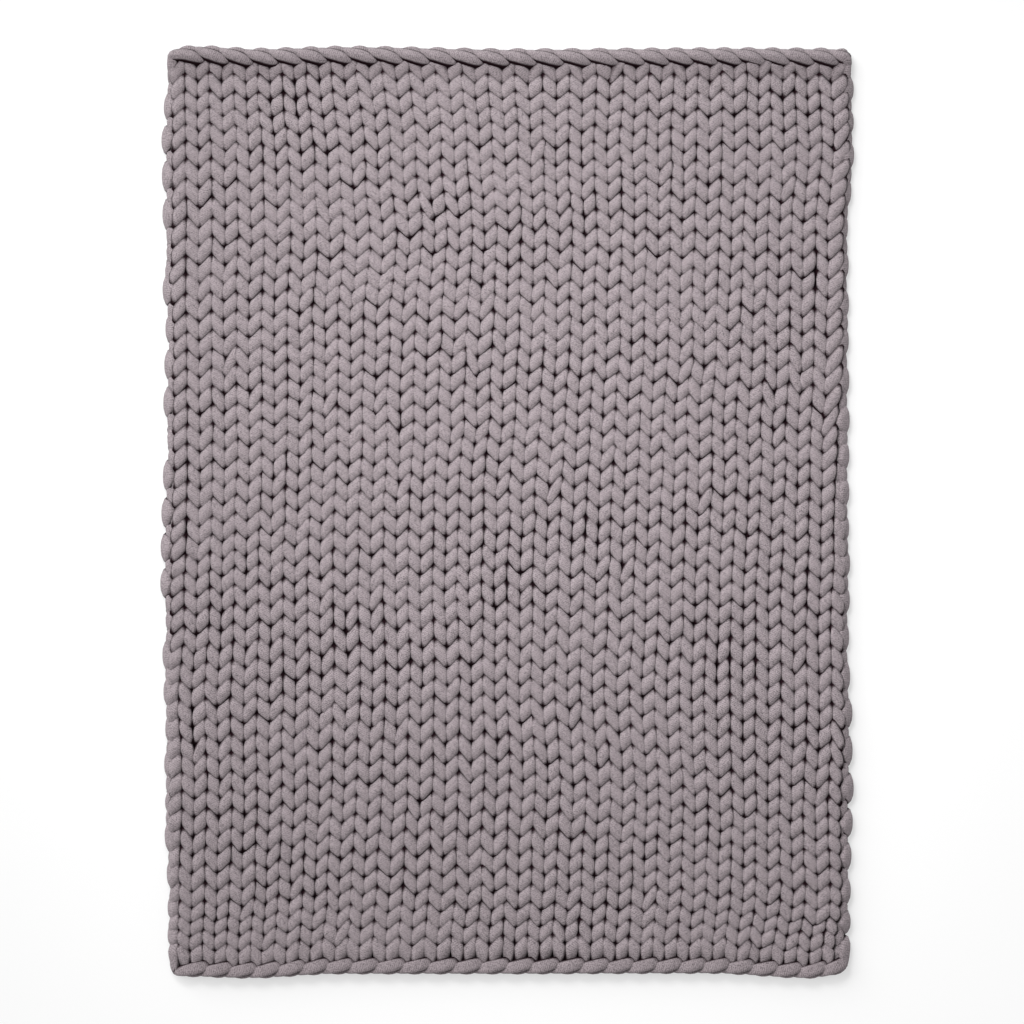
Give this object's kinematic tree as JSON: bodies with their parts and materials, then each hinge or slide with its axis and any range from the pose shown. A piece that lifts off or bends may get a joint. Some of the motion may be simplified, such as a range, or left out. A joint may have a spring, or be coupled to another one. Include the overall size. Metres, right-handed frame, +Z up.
{
  "type": "chunky knit blanket",
  "caption": "Flat rectangular blanket, hand knitted in stockinette from a thick tube yarn, with rope-like ends and lumpy selvedges; a warm cover for a bed or sofa.",
  "frame": {"origin": "on the floor, under the middle of the blanket's box", "axes": "+X across the wales, to the right seen from above; +Y from the cast-on edge to the bind-off edge; +Z up, out of the right side of the knit"},
  "size_m": [1.3122, 1.7666, 0.037],
  "materials": {
    "tube_yarn": "matte warm grey jersey tube yarn with fine cross ribs"
  },
  "bodies": {
    "root": {"knit_blanket": "tube_yarn"}
  },
  "joints": []
}
